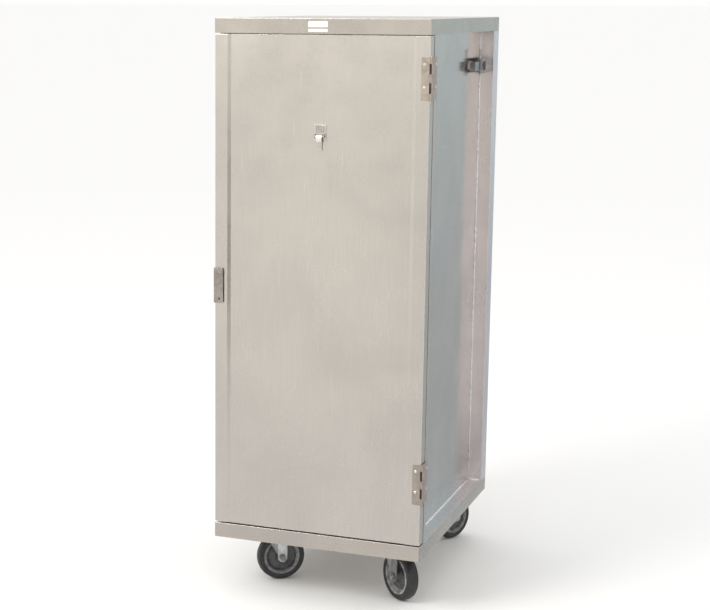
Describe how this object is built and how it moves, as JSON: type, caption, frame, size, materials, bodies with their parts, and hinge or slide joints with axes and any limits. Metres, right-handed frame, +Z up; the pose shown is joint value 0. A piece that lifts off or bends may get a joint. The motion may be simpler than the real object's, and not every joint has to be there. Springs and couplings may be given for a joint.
{
  "type": "insulated food carrier",
  "caption": "Upright insulated aluminium pan cabinet with a full-height hinged door, inner pan runners and swivel casters.",
  "frame": {"origin": "on the floor, under the middle of the whole object's box", "axes": "+Z up, +X towards the hinge side, the door faces -Y"},
  "size_m": [0.6587, 0.864, 1.746],
  "materials": {
    "mill_aluminium": "mill",
    "foam": "foam",
    "tyre": "satin",
    "hub": "satin",
    "zinc_steel": "zinc",
    "bright_fastener": "bright",
    "stainless": "brushed",
    "pin_steel": "ground",
    "chrome": "polished",
    "gasket": "matte",
    "magnet": "matte",
    "plate_label": "satin"
  },
  "bodies": {
    "cabinet": {"back_insulation": "foam", "back_liner": "mill_aluminium", "back_skin": "mill_aluminium", "base_insulation": "foam", "base_tray": "mill_aluminium", "caster_bolts": "bright_fastener", "caster_plates": "zinc_steel", "catch_bracket": "chrome", "catch_pin": "pin_steel", "ceiling_liner": "mill_aluminium", "floor_liner": "mill_aluminium", "frame_hinge_leaves": "stainless", "frame_hinge_screws": "bright_fastener", "front_caster_channel": "mill_aluminium", "front_frame": "mill_aluminium", "front_left_post": "mill_aluminium", "front_right_post": "mill_aluminium", "hinge_pins": "pin_steel", "left_liner": "mill_aluminium", "left_pan_runners": "mill_aluminium", "left_side_skin": "mill_aluminium", "magnet_strikes": "stainless", "name_plate": "plate_label", "rear_caster_channel": "mill_aluminium", "rear_left_post": "mill_aluminium", "rear_right_post": "mill_aluminium", "right_liner": "mill_aluminium", "right_pan_runners": "mill_aluminium", "right_side_skin": "mill_aluminium", "roof_insulation": "foam", "side_insulation": "foam", "top_cap": "mill_aluminium"},
    "door": {"door_outer_pan": "mill_aluminium", "door_inner_sheet": "mill_aluminium", "door_insulation": "foam", "door_gasket": "gasket", "door_magnets": "magnet", "door_hinge_leaves": "stainless", "door_screws": "bright_fastener", "door_pull": "stainless", "clip_bracket": "chrome", "clip_pin": "pin_steel"},
    "clip_jaw": {"clip_jaw": "chrome"},
    "catch_hook": {"catch_hook": "chrome"},
    "front_left_swivel": {"front_left_fork": "zinc_steel", "front_left_axle": "bright_fastener"},
    "front_left_wheel": {"front_left_tyre": "tyre", "front_left_hub": "hub"},
    "front_right_swivel": {"front_right_fork": "zinc_steel", "front_right_axle": "bright_fastener"},
    "front_right_wheel": {"front_right_tyre": "tyre", "front_right_hub": "hub"},
    "rear_left_swivel": {"rear_left_fork": "zinc_steel", "rear_left_axle": "bright_fastener"},
    "rear_left_wheel": {"rear_left_tyre": "tyre", "rear_left_hub": "hub"},
    "rear_right_swivel": {"rear_right_fork": "zinc_steel", "rear_right_axle": "bright_fastener"},
    "rear_right_wheel": {"rear_right_tyre": "tyre", "rear_right_hub": "hub"}
  },
  "joints": [
    {"name": "door_hinge", "type": "hinge", "parent": "cabinet", "child": "door", "pos_m": [0.3285, -0.42738, 0.9955], "axis": [0, 0, 1], "range_deg": [0, 270]},
    {"name": "clip_jaw_pivot", "type": "hinge", "parent": "door", "child": "clip_jaw", "pos_m": [0.0015, -0.42838, 1.413], "axis": [1, 0, 0], "range_deg": [-25, 0], "stiffness_Nm_per_rad": 0.05, "springref_deg": 20.05},
    {"name": "catch_hook_pivot", "type": "hinge", "parent": "cabinet", "child": "catch_hook", "pos_m": [0.3055, 0.23012, 1.5945], "axis": [0, 0, 1], "range_deg": [0, 90]},
    {"name": "front_left_swivel_turn", "type": "hinge", "parent": "cabinet", "child": "front_left_swivel", "pos_m": [-0.203, -0.25688, 0.17], "axis": [0, 0, 1], "continuous": true},
    {"name": "front_right_swivel_turn", "type": "hinge", "parent": "cabinet", "child": "front_right_swivel", "pos_m": [0.203, -0.25688, 0.17], "axis": [0, 0, 1], "continuous": true},
    {"name": "rear_left_swivel_turn", "type": "hinge", "parent": "cabinet", "child": "rear_left_swivel", "pos_m": [-0.203, 0.33213, 0.17], "axis": [0, 0, 1], "continuous": true},
    {"name": "rear_right_swivel_turn", "type": "hinge", "parent": "cabinet", "child": "rear_right_swivel", "pos_m": [0.203, 0.33213, 0.17], "axis": [0, 0, 1], "continuous": true},
    {"name": "front_left_wheel_spin", "type": "hinge", "parent": "front_left_swivel", "child": "front_left_wheel", "pos_m": [-0.17679, -0.23852, 0.076], "axis": [-0.5736, 0.8192, 0], "continuous": true},
    {"name": "front_right_wheel_spin", "type": "hinge", "parent": "front_right_swivel", "child": "front_right_wheel", "pos_m": [0.22751, -0.27744, 0.076], "axis": [0.6428, 0.766, 0], "continuous": true},
    {"name": "rear_left_wheel_spin", "type": "hinge", "parent": "rear_left_swivel", "child": "rear_left_wheel", "pos_m": [-0.23071, 0.34813, 0.076], "axis": [-0.5, -0.866, 0], "continuous": true},
    {"name": "rear_right_wheel_spin", "type": "hinge", "parent": "rear_right_swivel", "child": "rear_right_wheel", "pos_m": [0.21802, 0.36038, 0.076], "axis": [-0.8829, 0.4695, 0], "continuous": true}
  ]
}
